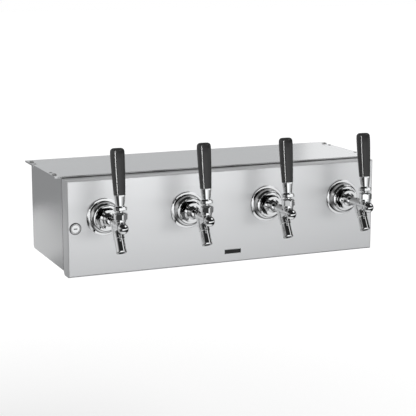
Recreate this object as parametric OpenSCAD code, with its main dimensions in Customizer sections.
// Underbar draft beer dispenser: an insulated sheet-metal case that hangs by its top plate,
// with a hinged front door that carries the beer faucets and a cam lock.
// X runs along the front to the right, Y to the back and Z up. The origin is the centre of the
// four hanging holes, on the upper face of the top plate.

/* [Case] */
// Depth of the case, from its front flange to its back wall
case_d = 226; // [190:1:320]
// Sheet thickness of the case
case_sheet = 1.2; // [0.8:0.1:2]
// Outer radius of the bend along the lower back edge
case_bend_r = 9; // [3:0.5:11]
// Width of the flange that is turned in round the front opening
flange_w = 15; // [13:0.5:24]
// Thickness of the foam lining
lining_t = 12; // [6:0.5:20]
// Radius of the hole for the beer lines through the back
chase_r = 38.1; // [25:0.1:50]
// Wall thickness of the collar in that hole
collar_wall = 2.9; // [1.5:0.1:5]
// Length of the collar that stands out behind the case
collar_proud = 12; // [5:0.5:30]

/* [Top plate] */
// Thickness of the top plate
plate_t = 1.9; // [1.2:0.1:4]
// Overhang of the plate past each side of the case
plate_overhang = 13.5; // [12.5:0.5:40]
// Diameter of the four hanging holes
bolt_d = 6.6; // [5.5:0.1:7.2]
// Distance of each hanging hole from the front or back edge
bolt_inset = 27; // [15:1:40]
// Distance of each pad rivet from the front or back edge
rivet_inset = 53; // [50:0.5:56]
// Length of the pads under the corners
pad_l = 62; // [60:1:90]
// Thickness of the pads
pad_t = 1.6; // [1:0.1:3]
// Height of the hanging bushes above the plate
bush_proud = 1.8; // [0.5:0.1:3]

/* [Door] */
// Height of the front panel
panel_h = 197; // [185:1:300]
// Depth of the panel's folded sides
panel_depth = 35; // [28:0.5:36]
// Sheet thickness of the panel
panel_sheet = 1.5; // [1:0.1:2]
// Radius of the panel's front edges
panel_edge_r = 3; // [1.6:0.1:4]
// Radius of the panel's lower back corner
panel_corner_r = 9; // [4:0.5:12]
// Thickness of the sheet that closes the back of the door
liner_t = 0.8; // [0.5:0.1:1.5]
// Gap between the top plate and the panel
plate_gap = 1.9; // [1.7:0.1:4]
// How far the panel hangs below the case
panel_hang = 8; // [4:0.5:14]
// Gap between the door and the case, filled by the gasket
seam = 2; // [1:0.1:3]

/* [Faucet places] */
// Number of faucets
tap_count = 4; // [2:1:6]
// Spacing of the faucets
tap_pitch = 180; // [130:1:260]
// Distance of the end faucets from the ends of the panel
tap_end = 76; // [70:1:150]
// Height of the faucets' axis above the panel's lower edge
tap_rise = 120; // [105:1:125]

/* [Shank] */
// Outer radius of the shank
shank_r = 11.1; // [10:0.1:12]
// Radius of the beer passage
shank_bore_r = 3.2; // [2:0.1:5]
// Thickness of the washer behind the door
washer_t = 2.4; // [1:0.1:4]
// Width across flats of the lock nut behind the door
locknut_af = 32; // [29:0.5:36]
// Thickness of that lock nut
locknut_t = 8; // [4:0.5:9]
// Length of the shank behind its lock nut
shank_back = 11.6; // [10.5:0.1:30]
// Width across flats of the nut that holds the tailpiece
beer_nut_af = 27; // [26:0.5:32]
// Length of that nut
beer_nut_l = 14; // [12:0.5:20]
// Length of the tailpiece behind the shank
tail_l = 28; // [24:0.5:40]
// Outer radius of the barbs
barb_r = 5.2; // [4.6:0.1:5.8]

/* [Bell flange] */
// Radius of the flange that covers the hole in the panel
bell_r = 37.8; // [32:0.1:44]
// Height of the flange
bell_h = 20; // [16:0.5:24]
// Radius of its raised front ring
bell_ring_r = 25.2; // [23:0.1:27]
// Thickness of its wall
bell_wall = 1.8; // [1:0.1:2.4]
// Height of its rim
bell_rim_h = 3; // [2.4:0.1:4]

/* [Coupling nut] */
// Width across flats of the nut that holds the faucet on its shank
nut_af = 38; // [35:0.5:42]
// Length of the nut
nut_l = 12; // [10:0.5:16]
// Thickness of its lip behind the shank's collar
nut_lip = 1.8; // [1.2:0.1:2.2]
// Radius of its thread
nut_bore_r = 14.3; // [13.5:0.1:15.5]

/* [Faucet body] */
// Distance from the panel to the upright axis of the lever
tower_u = 101; // [96:0.5:110]
// Radius of the barrel
barrel_r = 9.7; // [9:0.1:10.5]
// Radius of the bore that the valve slides in
chamber_r = 6; // [5.5:0.05:6.5]
// Radius of the valve's seat
seat_r = 4.8; // [4.2:0.1:5.2]
// Radius of the passage behind the seat
inlet_r = 7.5; // [7:0.1:8]
// Width of the body between its flat cheeks
cheek_w = 18; // [16.4:0.2:19]
// Radius of the tower under the bonnet
tower_r = 9.8; // [9.6:0.1:10.6]
// Height of the tower above the barrel's axis
tower_h = 14; // [13.4:0.1:16]
// Radius of the bore in the tower
tower_bore_r = 7.5; // [7:0.1:7.8]
// Radius of the domed nose
nose_r = 10.8; // [10.4:0.1:11.4]
// How far the nose hangs below the barrel's axis
nose_drop = 2.3; // [1:0.1:2.4]

/* [Spout] */
// Lean of the spout forward from upright
spout_tilt = 28; // [15:1:35]
// Length of the spout from the barrel's axis
spout_l = 59.2; // [48:0.1:70]
// Radius of the spout under its shoulder
spout_r = 10.2; // [9.4:0.1:10.8]
// Radius of the spout at its tip
spout_tip_r = 10.9; // [10:0.1:12]
// Radius of the wide bore in the outlet
spout_bore_r = 6.2; // [5.6:0.1:7]
// Length of that bore
outlet_l = 36; // [20:1:38]
// Radius of the passage from the valve down to it
passage_r = 5.2; // [4:0.1:5.5]

/* [Bonnet] */
// Radius of the bonnet
bonnet_r = 13.4; // [12.8:0.1:14.4]
// Width across the bonnet's flats
bonnet_af = 24.6; // [23:0.1:25.4]
// Height of the bonnet
bonnet_h = 13.2; // [12.6:0.1:14]
// Height of the lever's pivot above the barrel's axis
pivot_h = 20.5; // [20:0.1:21.5]

/* [Lever] */
// Radius of the ball that the lever turns on
ball_r = 6.5; // [6.2:0.05:6.6]
// Radius of the stem just above the ball
stem_r = 3.6; // [3.2:0.1:3.8]
// Radius of the small ball that drives the valve
tail_ball_r = 3.2; // [2.8:0.1:3.4]
// Radius of the neck between the two balls
tail_neck_r = 1.7; // [1.4:0.1:1.9]
// Lean of the closed lever to the back
rest_lean = 7; // [0:0.5:9]
// Travel of the lever from closed to open, in degrees
lever_travel = 25; // [15:1:25]
// Radius of the collar above the bonnet
grip_nut_r = 13; // [11.4:0.1:13.4]
// Length of that collar
grip_nut_l = 9.7; // [8:0.1:12]

/* [Handle] */
// Length of the chrome ferrule
ferrule_l = 20.9; // [16:0.1:28]
// Radius of the ferrule at its lower end
ferrule_low_r = 8.3; // [7.2:0.1:9]
// Radius of the handle where the grip starts
ferrule_top_r = 11.1; // [10:0.1:12]
// Length of the grip
grip_l = 90.8; // [60:0.1:120]
// Largest radius of the grip
grip_r = 14.2; // [13:0.1:16]

/* [Cam lock] */
// Distance of the lock from the left end of the panel
lock_inset = 15.5; // [15.2:0.1:16]
// Height of the lock above the panel's lower edge
lock_rise = 100; // [80:1:120]
// Radius of the lock's head
lock_head_r = 11; // [10.5:0.1:12]
// Radius of the lock's barrel
lock_r = 9.5; // [9:0.1:9.8]
// Radius of the plug that the key turns
plug_r = 7.6; // [6:0.1:8]
// Length of the cam from the lock's axis to its tip
cam_l = 31; // [26:0.5:40]
// Width of the cam
cam_w = 14; // [12:0.5:16]
// Thickness of the cam
cam_t = 2.4; // [1.5:0.1:3]

/* [Hinge] */
// Outer radius of the hinge's knuckles
knuckle_r = 3; // [2.6:0.1:3.4]
// Radius of the hinge pin
hinge_pin_r = 1.5; // [1.2:0.05:1.8]
// Thickness of the hinge's leaves
leaf_t = 1; // [0.8:0.1:1.2]
// Width of each leaf from the pin
leaf_w = 22; // [14:0.5:26]
// Number of knuckles
knuckle_count = 9; // [5:2:13]

/* [Hidden] */
$fn = 96;
bend_steps = 8;
arc_steps = 10;
overrun = 1;
// Clearances: a seat between parts of one piece of the machine, a screwed or pushed fit, and a running fit
seat_gap = 0.1;
hole_gap = 0.2;
run_gap = 0.05;
air_gap = 0.3;

// The case and the door, seen from the side
case_w = 2 * tap_end + (tap_count - 1) * tap_pitch;
case_front = -case_d / 2;
case_back = case_d / 2;
door_rear = case_front - seam;
door_face = door_rear - panel_depth;
panel_top = -plate_t - plate_gap;
panel_bottom = panel_top - panel_h;
case_bottom = panel_bottom + panel_hang;
inner_w = case_w - 2 * case_sheet;
lining_in = case_sheet + lining_t;
collar_r = chase_r + collar_wall;
collar_l = lining_t + case_sheet + collar_proud;
collar_lip_r = collar_r + 2 * collar_wall;
collar_lip_t = 1.5;
chase_z = (case_bottom - plate_t) / 2;

// The hanging holes and pads
bolt_x = (case_w + plate_overhang) / 2;
bolt_y = case_back - bolt_inset;
rivet_y = case_back - rivet_inset;
bush_wall = 1.1;
bush_lip = 0.8;
rivet_r = 2.4;
rivet_head_r = 4;
rivet_head_h = 0.9;

// The gasket
gasket_set_back = 1;
gasket_t = seam - air_gap;

// The lock's place, and the window in the flange that lets its cam through
lock_x = -case_w / 2 + lock_inset;
lock_z = panel_bottom + lock_rise;
window_room = 10;
window_half = cam_w / 2 + window_room;
lock_head_t = 2;
lock_head_bevel = 0.8;
lock_l = panel_depth + seam + case_sheet + hole_gap;
lock_nut_af = 24;
lock_nut_t = 3.2;
key_w = 1.9;
key_l = 7.5;
key_depth = 8;
plug_recess = 0.3;
tang_w = 6.2;
cam_seat = lock_l + hole_gap;
cam_screw_r = 2;
cam_screw_l = 8;
cam_head_r = 4.2;
cam_head_t = 2.4;
pocket_room = 3;

// The faucet's places, measured forward from the face of the panel
tap_z = panel_bottom + tap_rise;
nut_back = bell_h + air_gap;
nut_front = nut_back + nut_l;
collar_back = nut_back + nut_lip + seat_gap;
shank_collar_t = 2.2;
shank_l = panel_depth + washer_t + locknut_t + shank_back;
shank_front = collar_back + shank_collar_t;
coupling_gasket_t = 1.2;
body_back = shank_front + coupling_gasket_t;
tail_r = nut_bore_r - seat_gap;
waist_r = cheek_w / 2 + seat_gap;
tail_step = 1;
waist_from_nut = 9.7;
waist_u = nut_front + waist_from_nut;
waist_blend = 4;
swell_l = 28;
full_u = waist_u + swell_l;
ridge_from_waist = 8;
ridge_u = waist_u + ridge_from_waist;
ridge_short = 5;
ridge_low_z = 3;
ridge_low_r = 5;
ridge_high_r = 7;
ridge_rise = 4;
barrel_past_tower = 5;
barrel_front = tower_u + barrel_past_tower;
groove_l = 3;
groove_depth = 1.9;
groove_r = barrel_r - groove_depth;
nose_sunk = 5;
nose_u = barrel_front + groove_l + nose_r - nose_sunk;
chamber_back = 60;
seat_l = 2;
chamber_front = nose_u;
spout_behind_tower = 25;
spout_u = tower_u - spout_behind_tower;
shoulder_step = 1;
shoulder_r = spout_r + shoulder_step;
shoulder_from = 20;
shoulder_to = 31;
web_above_shoulder = 2.5;
tip_bevel = 0.8;
vent_r = 1.4;
vent_behind_tower = 8;
vent_u = tower_u - vent_behind_tower;
vent_z = 3.9;
tower_thread_r = 8.9;
tower_thread_h = 3;
tower_foot_step = 0.5;
tower_slope = 1;
flare_step = 1.2;
flare_r = tower_r + flare_step;
flare_h = 4;

// The bonnet and the seat of the lever's ball
bonnet_bore_r = tower_thread_r + seat_gap;
bonnet_counterbore_h = 5;
seat_wall = 0.8;
mouth_r = 7.2;
throat_r = 6.1;
throat_h = 4.1;
ball_washer_r = bonnet_bore_r - hole_gap;
ball_washer_from = tower_h + tower_thread_h;
ball_washer_to = tower_h + bonnet_counterbore_h - seat_gap;

// The lever and the handle, measured up the lever from its pivot
tail_drop = 20.5;
grip_nut_from = 9.4;
grip_nut_bevel = 3.2;
grip_nut_foot_r = 9.4;
grip_nut_step = 1;
ferrule_from = grip_nut_from + grip_nut_l + air_gap;
grip_from = ferrule_from + ferrule_l;
stem_taper_l = 9;
stem_thread_r = 4.4;
stem_in_grip = 14;
stem_top = grip_from + stem_in_grip;
ferrule_band = 2.5;
// Radii and heights along the grip, as shares of its largest radius and of its length
grip_r_shares = [0.8, 0.845, 0.882, 0.916, 0.95, 0.98, 1, 1, 0.98];
grip_h_shares = [0, 0.125, 0.25, 0.375, 0.5, 0.64, 0.79, 0.88, 0.925];
grip_crown_share = 0.075;
grip_flat_share = 0.5;

// The valve, with its travel worked out from the lever's
tail_rest_u = tower_u + tail_drop * sin(rest_lean);
valve_travel = tail_drop * (sin(rest_lean) + sin(lever_travel - rest_lean));
piston_r = chamber_r - run_gap;
piston_behind = 11.5;
piston_ahead = 9.5;
piston_back = tail_rest_u - piston_behind;
piston_front = tail_rest_u + piston_ahead;
pocket_r = tail_ball_r + air_gap;
pocket_floor = -pocket_r - seat_gap;
piston_top = 4;
rod_r = 2.6;
valve_washer_r = 6.4;
valve_washer_t = 5.9;
valve_washer_back = chamber_back - seat_l - seat_gap - valve_washer_t;
valve_nut_af = 7.5;
valve_nut_t = 3;
shoulder_disc_r = 3.8;
shoulder_disc_t = 1.6;

// The hinge
hinge_x = case_w / 2 + knuckle_r;
hinge_y = case_front - seam / 2;
hinge_bottom_clear = 12;
hinge_top_clear = 4.5;
hinge_top = -plate_t - pad_t - hinge_top_clear;
hinge_bottom = case_bottom + hinge_bottom_clear;
knuckle_l = (hinge_top - hinge_bottom) / knuckle_count;
pin_head_r = 2.4;
pin_head_h = 1;

// Colours as the photograph shows them
steel = [0.80, 0.81, 0.82];
plate_steel = [0.70, 0.71, 0.72];
chrome = [0.88, 0.89, 0.90];
black = [0.08, 0.08, 0.09];
foam = [0.90, 0.86, 0.70];

// Points of an arc about a centre, from one angle to another
function arc(cx, cy, rx, ry, from, to, steps = arc_steps) =
    [for (i = [0 : steps])
        let (a = from + (to - from) * i / steps) [cx + rx * cos(a), cy + ry * sin(a)]];

// Points of one rounded corner at x, y, which starts at angle a
function bend(x, y, r, a) = r <= 0 ? [[x, y]] :
    arc(x - r * sign(cos(a + 45)), y - r * sign(sin(a + 45)), r, r, a, a + 90, bend_steps);

// Outline of a box with a radius of its own at each corner
function box_outline(lo, hi, low_left, low_right, top_right, top_left) = concat(
    bend(lo[0], lo[1], low_left, 180), bend(hi[0], lo[1], low_right, 270),
    bend(hi[0], hi[1], top_right, 0), bend(lo[0], hi[1], top_left, 90));

// Stands an outline of Y and Z on edge, centred along X
module along_x(length) {
    rotate([90, 0, 90]) linear_extrude(height = length, center = true) children();
}

// Stands an outline of forward distance and height on edge, centred along X
module side_on(width) {
    rotate([90, 0, -90]) linear_extrude(height = width, center = true) children();
}

// Turns a shape's Z axis forward, and its Y axis up
module forward() {
    rotate([90, 0, 0]) children();
}

// Box from its lowest and its highest corner
module block(lo, hi) {
    translate(lo) cube([hi[0] - lo[0], hi[1] - lo[1], hi[2] - lo[2]]);
}

// Tube or disc between two stations on its axis
module ring(out_r, in_r, from, to) {
    difference() {
        translate([0, 0, from]) cylinder(r = out_r, h = to - from);
        translate([0, 0, from - overrun]) cylinder(r = in_r, h = to - from + 2 * overrun);
    }
}

// Solid cylinder between two stations on its axis
module rod(r, from, to) {
    translate([0, 0, from]) cylinder(r = r, h = to - from);
}

// Hexagonal nut between two stations, with both ends bevelled
module hex_nut(af, bore, from, to, bevel) {
    corner = af / 2 / cos(30);
    flank_share = 1.7;
    difference() {
        intersection() {
            translate([0, 0, from]) cylinder(r = corner, h = to - from, $fn = 6);
            rotate_extrude() polygon([
                [0, from], [corner - flank_share * bevel, from], [corner, from + bevel],
                [corner, to - bevel], [corner - flank_share * bevel, to], [0, to]]);
        }
        rod(bore, from - overrun, to + overrun);
    }
}

// Each of the four corners of the top plate, as seen from the right at the back
module at_corners() {
    for (x = [0, 1], y = [0, 1]) mirror([x, 0, 0]) mirror([0, y, 0]) children();
}

// Centre of one faucet's shank on the face of the panel
module at_tap(i) {
    translate([(i - (tap_count + 1) / 2) * tap_pitch, door_face, tap_z]) children();
}

// The same at every faucet
module each_tap() {
    for (i = [1 : tap_count]) at_tap(i) children();
}

// Lever's frame: its origin is the pivot and its Z axis runs up the lever at rest
module on_lever(i) {
    at_tap(i) translate([0, -tower_u, pivot_h]) rotate([-rest_lean, 0, 0]) children();
}

// Lock's axis on the face of the panel
module at_lock() {
    translate([lock_x, door_face, lock_z]) children();
}

// Cylinders through the door wherever something passes through it
module door_holes() {
    each_tap() forward() rod(shank_r + hole_gap, -panel_depth - overrun, overrun);
    at_lock() forward() rod(lock_r + hole_gap, -panel_depth - overrun, overrun);
}

// Outline of the case from the side, drawn in by a margin and rounded at its lower back corner
module case_outline(margin, r) {
    polygon(box_outline([case_front + margin, case_bottom + margin],
                        [case_back - margin, -plate_t], 0, r, 0, 0));
}

// Folded body of the case, with a turned-in flange round its front opening
module housing_shell() {
    color(plate_steel) difference() {
        along_x(case_w) case_outline(0, case_bend_r);
        along_x(inner_w) polygon(box_outline(
            [case_front + case_sheet, case_bottom + case_sheet],
            [case_back - case_sheet, overrun], 0, case_bend_r - case_sheet, 0, 0));
        block([-case_w / 2 + flange_w, case_front - overrun, case_bottom + flange_w],
              [case_w / 2 - flange_w, case_front + case_sheet + overrun, -plate_t - flange_w]);
        lock_window(case_sheet);
        translate([0, 0, chase_z]) rotate([-90, 0, 0])
            rod(collar_r + hole_gap, case_back - 2 * case_sheet, case_back + overrun);
    }
}

// Opening beside the lock, where the cam and the barrel pass the flange
module lock_window(margin) {
    block([-case_w / 2 + margin, case_front - 2 * seam, lock_z - window_half],
          [-case_w / 2 + flange_w + overrun, case_front + case_sheet + overrun,
           lock_z + window_half]);
}

// Foam slab on every wall, open to the front
module housing_insulation() {
    color(foam) difference() {
        along_x(inner_w) case_outline(case_sheet, case_bend_r);
        block([-case_w / 2 + lining_in, case_front, case_bottom + lining_in],
              [case_w / 2 - lining_in, case_back - lining_in, -plate_t - lining_t]);
        translate([0, 0, chase_z]) rotate([-90, 0, 0])
            rod(collar_r + hole_gap, case_back - 2 * lining_in, case_back);
        // Pocket that the cam turns in
        block([lock_x - lock_r - pocket_room / 2, case_front, lock_z - cam_l - pocket_room],
              [-case_w / 2 + lining_in + overrun,
               door_face + cam_seat + cam_t + cam_head_t + pocket_room, lock_z + window_half]);
    }
}

// Plate across the top, which overhangs both ends of the case
module top_plate() {
    color(plate_steel) difference() {
        block([-case_w / 2 - plate_overhang, case_front, -plate_t],
              [case_w / 2 + plate_overhang, case_back, 0]);
        plate_holes();
    }
}

// Pads that stiffen the overhang round each hanging hole
module corner_pads() {
    color(plate_steel) difference() {
        at_corners() block([case_w / 2, case_back - pad_l, -plate_t - pad_t],
                           [case_w / 2 + plate_overhang, case_back, -plate_t]);
        plate_holes();
    }
}

// Holes for the bushes and the rivets through the plate and the pads
module plate_holes() {
    at_corners() {
        translate([bolt_x, bolt_y, 0])
            rod(bolt_d / 2 + bush_wall + seat_gap, -plate_t - pad_t - overrun, overrun);
        translate([bolt_x, rivet_y, 0])
            rod(rivet_r + seat_gap, -plate_t - pad_t - overrun, overrun);
    }
}

// Flanged bushes that line the hanging holes
module hanging_bushes() {
    color(chrome) at_corners() translate([bolt_x, bolt_y, 0]) {
        ring(bolt_d / 2 + bush_wall, bolt_d / 2, -plate_t - pad_t, bush_proud);
        ring(bolt_d / 2 + bush_wall + bush_lip, bolt_d / 2, 0, bush_proud);
    }
}

// Low round-headed rivets through the plate and the pads
module pad_rivets() {
    color(chrome) at_corners() translate([bolt_x, rivet_y, 0]) rotate_extrude() polygon(concat(
        [[0, -plate_t - pad_t - rivet_head_h], [rivet_r, -plate_t - pad_t - rivet_head_h],
         [rivet_head_r, -plate_t - pad_t], [rivet_r, -plate_t - pad_t], [rivet_r, 0]],
        arc(0, 0, rivet_head_r, rivet_head_h, 0, 90, bend_steps)));
}

// Rubber gasket on the front flange
module door_gasket() {
    color(black) difference() {
        block([-case_w / 2 + gasket_set_back, case_front - gasket_t, case_bottom + gasket_set_back],
              [case_w / 2 - gasket_set_back, case_front, -plate_t - gasket_set_back]);
        block([-case_w / 2 + flange_w - gasket_set_back, case_front - seam,
               case_bottom + flange_w - gasket_set_back],
              [case_w / 2 - flange_w + gasket_set_back, case_front + overrun,
               -plate_t - flange_w + gasket_set_back]);
        lock_window(0);
    }
}

// Collar that lines the hole for the beer lines
module chase_collar() {
    color(steel) translate([0, case_back - lining_in, chase_z]) rotate([-90, 0, 0]) {
        ring(collar_r, chase_r, 0, collar_l);
        ring(collar_lip_r, chase_r, lining_in, lining_in + collar_lip_t);
    }
}

// One leaf of the continuous hinge; first is the first of its knuckles, counted from below
module hinge_leaf(side, first) {
    translate([hinge_x, hinge_y, 0]) difference() {
        union() {
            block([-knuckle_r, min(0, side * leaf_w), hinge_bottom],
                  [-knuckle_r + leaf_t, max(0, side * leaf_w), hinge_top]);
            for (k = [first : 2 : knuckle_count - 1])
                rod(knuckle_r, hinge_bottom + k * knuckle_l + air_gap / 2,
                    hinge_bottom + (k + 1) * knuckle_l - air_gap / 2);
        }
        // Room for the other leaf's knuckles
        for (k = [1 - first : 2 : knuckle_count - 1])
            rod(knuckle_r + air_gap, hinge_bottom + k * knuckle_l - air_gap / 2,
                hinge_bottom + (k + 1) * knuckle_l + air_gap / 2);
        rod(hinge_pin_r + run_gap, hinge_bottom - overrun, hinge_top + overrun);
    }
}

// Hinge leaf on the case
module hinge_leaf_case() {
    color(steel) hinge_leaf(1, 0);
}

// Hinge leaf on the door
module hinge_leaf_door() {
    color(steel) hinge_leaf(-1, 1);
}

// Hinge pin with a head at its top
module hinge_pin() {
    color(chrome) translate([hinge_x, hinge_y, 0]) {
        rod(hinge_pin_r, hinge_bottom, hinge_top + pin_head_h);
        rod(pin_head_r, hinge_top, hinge_top + pin_head_h);
    }
}

// Deep pan that makes the face and the folded sides of the door
module front_panel() {
    hollow_r = panel_corner_r - panel_sheet;
    color(steel) difference() {
        intersection() {
            along_x(case_w) polygon(box_outline([door_face, panel_bottom],
                [door_rear, panel_top], panel_edge_r, panel_corner_r, 0, panel_edge_r));
            translate([0, 0, panel_bottom - overrun])
                linear_extrude(height = panel_h + 2 * overrun)
                    polygon(box_outline([-case_w / 2, door_face], [case_w / 2, door_rear],
                        panel_edge_r, panel_edge_r, 0, 0));
        }
        along_x(case_w - 2 * panel_sheet) polygon(concat(
            [[door_face + panel_sheet, panel_bottom + panel_sheet]],
            arc(door_rear - panel_corner_r, panel_bottom + panel_corner_r,
                hollow_r, hollow_r, 270, 360, bend_steps),
            [[door_rear + overrun, panel_bottom + panel_corner_r],
             [door_rear + overrun, panel_top - panel_sheet],
             [door_face + panel_sheet, panel_top - panel_sheet]]));
        door_holes();
    }
}

// Foam core of the door
module door_foam() {
    color(foam) difference() {
        block([-case_w / 2 + panel_sheet, door_face + panel_sheet, panel_bottom + panel_corner_r],
              [case_w / 2 - panel_sheet, door_rear - liner_t, panel_top - panel_sheet]);
        door_holes();
    }
}

// Sheet that closes the back of the door
module door_liner() {
    color(plate_steel) difference() {
        block([-case_w / 2 + panel_sheet, door_rear - liner_t, panel_bottom + panel_corner_r],
              [case_w / 2 - panel_sheet, door_rear, panel_top - panel_sheet]);
        door_holes();
    }
}

// Bell-shaped flanges that cover the shank holes
module bell_flanges() {
    rim_w = 5;
    shoulder_low_r = bell_r - rim_w;
    bead = 0.8;
    hole_r = shank_r + air_gap;
    color(chrome) each_tap() forward() rotate_extrude() polygon(concat(
        [[hole_r, bell_h], [hole_r, bell_h - bell_wall],
         [bell_ring_r - bell_wall, bell_h - bell_wall]],
        arc(bell_ring_r - bell_wall, bell_rim_h - bell_wall,
            shoulder_low_r - bell_ring_r, bell_h - 2 * bell_rim_h, 90, 0),
        [[shoulder_low_r, 0], [bell_r - bead / 2, 0], [bell_r, bead / 2],
         [bell_r, bell_rim_h - bead], [bell_r - bead, bell_rim_h], [shoulder_low_r + bead, bell_rim_h]],
        arc(bell_ring_r + bead, bell_rim_h,
            shoulder_low_r - bell_ring_r - bead, bell_h - 2 * bell_rim_h + bead, 0, 90),
        [[bell_ring_r, bell_h - bell_rim_h + bead], [bell_ring_r, bell_h - bead],
         [bell_ring_r - bead, bell_h]]));
}

// Hexagonal nuts that draw the faucets on to their shanks
module coupling_nuts() {
    bevel = 1.6;
    color(chrome) each_tap() forward() difference() {
        hex_nut(nut_af, shank_r + air_gap, nut_back, nut_front, bevel);
        rod(nut_bore_r, nut_back + nut_lip, nut_front + overrun);
    }
}

// Washers between the shanks and the faucets
module coupling_gaskets() {
    color(black) each_tap() forward()
        ring(nut_bore_r - 4 * hole_gap, inlet_r, shank_front, body_back);
}

// Shanks that carry the beer through the door
module shanks() {
    color(chrome) each_tap() forward() difference() {
        union() {
            rod(shank_r, -shank_l, shank_front);
            rod(nut_bore_r - 2 * hole_gap, collar_back, shank_front);
        }
        rod(shank_bore_r, -shank_l - overrun, shank_front + overrun);
    }
}

// Washers behind the door
module shank_washers() {
    rim = 1;
    color(steel) each_tap() forward()
        ring(locknut_af / 2 + rim, shank_r + hole_gap, -panel_depth - washer_t, -panel_depth);
}

// Nuts that clamp the shanks in the door
module shank_locknuts() {
    bevel = 0.8;
    from = -panel_depth - washer_t - locknut_t;
    color(steel) each_tap() forward()
        hex_nut(locknut_af, shank_r + seat_gap, from, from + locknut_t, bevel);
}

// Nuts that hold the tailpieces
module beer_nuts() {
    bevel = 0.8;
    lip = 3;
    from = -shank_l + beer_nut_l / 2;
    color(chrome) each_tap() forward() difference() {
        hex_nut(beer_nut_af, barb_r + air_gap, from - beer_nut_l, from, bevel);
        rod(shank_r + seat_gap, from - beer_nut_l + lip, from + overrun);
    }
}

// Barbed tailpieces that the beer lines push on to
module tailpieces() {
    disc_t = 2;
    barb_count = 3;
    barb_l = 5;
    barb_step = 1;
    neck_r = barb_r - barb_step;
    end = -shank_l - tail_l;
    color(chrome) each_tap() forward() difference() {
        union() {
            rod(shank_r - air_gap, -shank_l - seat_gap - disc_t, -shank_l - seat_gap);
            rod(neck_r, end, -shank_l - disc_t);
            for (k = [0 : barb_count - 1]) translate([0, 0, end + k * barb_l])
                cylinder(r1 = neck_r, r2 = barb_r, h = barb_l - air_gap);
        }
        rod(shank_bore_r, end - overrun, -shank_l);
    }
}

// Spout's frame: its Z axis runs down the spout from the barrel's axis
module on_spout() {
    translate([0, -spout_u, 0]) rotate([180 - spout_tilt, 0, 0]) children();
}

// Outside of a faucet's body, with nothing bored out of it
module faucet_solid() {
    forward() rotate_extrude() polygon([
        [0, body_back], [tail_r, body_back], [tail_r, nut_front - air_gap],
        [tail_r - tail_step, nut_front + air_gap],
        [waist_r + tail_step, waist_u - waist_blend], [waist_r, waist_u],
        [barrel_r, full_u], [barrel_r, barrel_front], [groove_r, barrel_front],
        [groove_r, nose_u], [0, nose_u]]);
    translate([0, -nose_u, -nose_drop]) sphere(r = nose_r);
    ridge();
    translate([0, -tower_u, 0]) tower();
    cheeks();
    on_spout() spout();
}

// Ridge that climbs along the top of the barrel to the tower
module ridge() {
    ridge_l = tower_u - ridge_short - ridge_u;
    translate([0, -ridge_u, ridge_low_z]) rotate([90 - atan2(ridge_rise, ridge_l), 0, 0])
        cylinder(r1 = ridge_low_r, r2 = ridge_high_r, h = ridge_l);
}

// Tower that the bonnet screws on to
module tower() {
    rotate_extrude() polygon([
        [0, 0], [barrel_r - tower_foot_step, 0], [tower_r, tower_h / 2 - tower_slope],
        [tower_r, tower_h - flare_h - tower_slope],
        [flare_r, tower_h - flare_h], [flare_r, tower_h - seat_gap],
        [tower_thread_r, tower_h - seat_gap],
        [tower_thread_r, tower_h + tower_thread_h], [0, tower_h + tower_thread_h]]);
}

// Flat-sided web between the barrel and the spout
module cheeks() {
    // Back edge of the web: how far ahead of the waist, as shares of the swell's length, and how far
    // below the barrel's axis, as shares of the way down to the spout's shoulder
    back_edge_shares = [[0.72, -0.11], [1.05, 0.55]];
    front_edge = barrel_front - shoulder_step;
    web_to = shoulder_from - web_above_shoulder;
    side_on(cheek_w) polygon(concat(
        [for (p = back_edge_shares) [waist_u + swell_l * p[0], -shoulder_from * p[1]]], [
        [spout_u + web_to * sin(spout_tilt) - spout_r * cos(spout_tilt),
         -web_to * cos(spout_tilt) - spout_r * sin(spout_tilt)],
        [spout_u + web_to * sin(spout_tilt) + spout_r * cos(spout_tilt),
         -web_to * cos(spout_tilt) + spout_r * sin(spout_tilt)],
        [front_edge, -barrel_r / 2], [front_edge, -shoulder_from * back_edge_shares[0][1]]]));
}

// Spout with a shoulder below the web and a tip that opens out a little
module spout() {
    rotate_extrude() polygon([
        [0, 0], [spout_r, 0], [spout_r, shoulder_from - shoulder_step],
        [shoulder_r, shoulder_from], [shoulder_r, shoulder_to - shoulder_step],
        [spout_r, shoulder_to],
        [spout_tip_r, spout_l - 2 * tip_bevel], [spout_tip_r - tip_bevel, spout_l],
        [0, spout_l]]);
}

// Body of one faucet with its passages
module faucet_body(i) {
    color(chrome) at_tap(i) difference() {
        faucet_solid();
        forward() {
            rod(inlet_r, body_back - overrun, chamber_back - seat_l);
            rod(seat_r, body_back, chamber_back + overrun);
            rod(chamber_r, chamber_back, chamber_front);
        }
        translate([0, -tower_u, 0]) rod(tower_bore_r, 0, tower_h + tower_thread_h + overrun);
        on_spout() {
            rod(passage_r, chamber_r / 2, spout_l);
            rod(spout_bore_r, spout_l - outlet_l, spout_l + overrun);
        }
        translate([-cheek_w, -vent_u, vent_z]) rotate([0, 90, 0]) rod(vent_r, 0, cheek_w);
    }
}

// Caps that hold the levers' balls down
module bonnets() {
    top = tower_h + bonnet_h;
    dome = 3.4;
    flat_turn = 30;
    color(chrome) each_tap() translate([0, -tower_u, 0]) intersection() {
        rotate_extrude() polygon(concat(
            [[bonnet_bore_r, tower_h], [bonnet_r - seat_wall, tower_h],
             [bonnet_r, tower_h + seat_wall]],
            arc(mouth_r + air_gap, top - dome, bonnet_r - mouth_r - air_gap, dome, 0, 90),
            [[mouth_r, top], [throat_r, pivot_h + throat_h], [ball_r + seat_wall, pivot_h],
             [ball_r + seat_wall, tower_h + bonnet_counterbore_h],
             [bonnet_bore_r, tower_h + bonnet_counterbore_h]]));
        rotate([0, 0, flat_turn]) translate([0, 0, tower_h])
            cylinder(r = bonnet_af / 2 / cos(30), h = bonnet_h, $fn = 6);
    }
}

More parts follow.
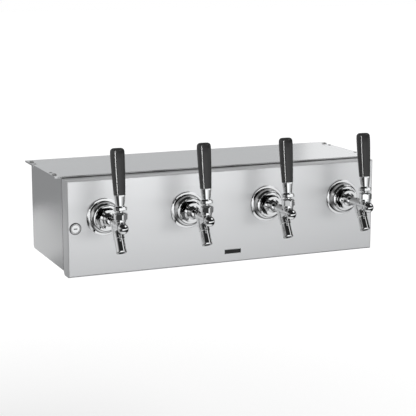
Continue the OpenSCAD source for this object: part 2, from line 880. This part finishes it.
// Washers that the levers' balls rest on
module ball_washers() {
    color(black) each_tap() translate([0, -tower_u, 0])
        ring(ball_washer_r, ball_r, ball_washer_from, ball_washer_to);
}

// Lever with the ball that it turns on and the small ball that drives the valve
module lever_stem(i) {
    color(chrome) on_lever(i) {
        sphere(r = ball_r);
        translate([0, 0, -tail_drop]) sphere(r = tail_ball_r);
        rod(tail_neck_r, -tail_drop, 0);
        cylinder(r1 = stem_r, r2 = stem_thread_r, h = stem_taper_l);
        rod(stem_thread_r, stem_taper_l - overrun, stem_top);
    }
}

// Round collar above the bonnet
module lever_collar(i) {
    top = grip_nut_from + grip_nut_l;
    color(chrome) on_lever(i) rotate_extrude() polygon([
        [stem_thread_r + seat_gap, grip_nut_from], [grip_nut_foot_r, grip_nut_from],
        [grip_nut_r, grip_nut_from + grip_nut_bevel / 2], [grip_nut_r, top - grip_nut_bevel],
        [grip_nut_r - grip_nut_step, top - grip_nut_bevel / 2], [ferrule_low_r + grip_nut_step, top],
        [stem_thread_r + seat_gap, top]]);
}

// Chrome ferrule under the grip
module handle_ferrule(i) {
    ridge = 0.3;
    color(chrome) on_lever(i) rotate_extrude() polygon([
        [stem_thread_r + seat_gap, ferrule_from], [ferrule_low_r, ferrule_from],
        [ferrule_top_r - ridge, grip_from - ferrule_band], [ferrule_top_r, grip_from - ferrule_band],
        [ferrule_top_r, grip_from], [stem_thread_r + seat_gap, grip_from]]);
}

// Long black grip, which swells towards its rounded top
module handle_grip(i) {
    crown = grip_l * grip_crown_share;
    crown_r = grip_r * grip_r_shares[len(grip_r_shares) - 1];
    flat_r = crown_r * grip_flat_share;
    crown_from = 10;
    color(black) on_lever(i) difference() {
        rotate_extrude() polygon(concat(
            [[0, grip_from]],
            [for (k = [0 : len(grip_r_shares) - 1])
                [grip_r * grip_r_shares[k], grip_from + grip_l * grip_h_shares[k]]],
            arc(flat_r, grip_from + grip_l - crown, crown_r - flat_r, crown, crown_from, 90),
            [[0, grip_from + grip_l]]));
        rod(stem_thread_r + seat_gap, grip_from - overrun, stem_top + overrun);
    }
}

// Valve's shaft: a guide piston with a pocket for the lever, a thin rod and a nut at its end
module valve_shaft(i) {
    from = valve_washer_back - valve_nut_t;
    color(steel) at_tap(i) difference() {
        forward() {
            rod(piston_r, piston_back, piston_front);
            rod(rod_r, from, piston_back);
            rod(shoulder_disc_r, valve_washer_back + valve_washer_t + seat_gap,
                valve_washer_back + valve_washer_t + seat_gap + shoulder_disc_t);
            translate([0, 0, from]) cylinder(r = valve_nut_af / 2 / cos(30),
                h = valve_nut_t - seat_gap, $fn = 6);
        }
        translate([0, -tail_rest_u, 0]) rod(pocket_r, pocket_floor, piston_r + overrun);
        block([-2 * piston_r, -piston_front - overrun, piston_top],
              [2 * piston_r, -piston_back + overrun, 2 * piston_r]);
    }
}

// Rubber washer that closes against the seat
module valve_washer(i) {
    color(black) at_tap(i) forward() ring(valve_washer_r, rod_r + seat_gap,
        valve_washer_back, valve_washer_back + valve_washer_t);
}

// Lock's fixed barrel and head
module lock_barrel() {
    // Ring groove in the head's face
    groove_w = 0.7;
    groove_from_edge = 1.6;
    color(chrome) at_lock() forward() difference() {
        rotate_extrude() polygon([
            [0, -lock_l], [lock_r, -lock_l], [lock_r, 0], [lock_head_r, 0],
            [lock_head_r, lock_head_t - lock_head_bevel],
            [lock_head_r - lock_head_bevel, lock_head_t], [0, lock_head_t]]);
        rod(plug_r + run_gap, -lock_l - overrun, lock_head_t + overrun);
        ring(lock_head_r - groove_from_edge, lock_head_r - groove_from_edge - groove_w,
            lock_head_t - groove_w, lock_head_t + overrun);
    }
}

// Nut behind the door that clamps the lock
module lock_nut() {
    bevel = 0.5;
    color(steel) at_lock() forward() rotate([0, 0, 30])
        hex_nut(lock_nut_af, lock_r + seat_gap, -panel_depth - lock_nut_t, -panel_depth, bevel);
}

// Plug with its keyway, and the square tang that drives the cam
module lock_plug() {
    color(chrome) at_lock() forward() difference() {
        union() {
            rod(plug_r, -lock_l, lock_head_t - plug_recess);
            translate([-tang_w / 2, -tang_w / 2, -cam_seat - cam_t]) cube([tang_w, tang_w, cam_t + overrun]);
        }
        translate([-key_l / 2, -key_w / 2, lock_head_t - key_depth]) cube([key_l, key_w, key_depth]);
        rod(cam_screw_r + seat_gap, -cam_seat - cam_t - overrun,
            -cam_seat - cam_t + cam_screw_l + seat_gap);
    }
}

// Cam that turns down behind the flange to lock the door
module lock_cam() {
    from = -cam_seat - cam_t;
    color(steel) at_lock() forward() difference() {
        union() {
            rod(cam_w / 2, from, from + cam_t);
            translate([0, -cam_w / 2, from]) cube([cam_l, cam_w, cam_t]);
        }
        translate([-tang_w / 2 - seat_gap, -tang_w / 2 - seat_gap, from - overrun])
            cube([tang_w + 2 * seat_gap, tang_w + 2 * seat_gap, cam_t + 2 * overrun]);
    }
}

// Screw that holds the cam on the plug
module cam_screw() {
    from = -cam_seat - cam_t;
    color(steel) at_lock() forward() {
        rod(cam_screw_r, from - seat_gap, from + cam_screw_l);
        rod(cam_head_r, from - seat_gap - cam_head_t, from - seat_gap);
    }
}

housing_shell();
top_plate();
corner_pads();
hanging_bushes();
pad_rivets();
housing_insulation();
door_gasket();
chase_collar();
hinge_leaf_case();
hinge_pin();
front_panel();
door_foam();
door_liner();
hinge_leaf_door();
bell_flanges();
coupling_nuts();
coupling_gaskets();
shanks();
shank_washers();
shank_locknuts();
beer_nuts();
tailpieces();
bonnets();
ball_washers();
lock_barrel();
lock_nut();
lock_plug();
lock_cam();
cam_screw();
for (i = [1 : tap_count]) {
    faucet_body(i);
    valve_shaft(i);
    valve_washer(i);
    lever_stem(i);
    lever_collar(i);
    handle_ferrule(i);
    handle_grip(i);
}
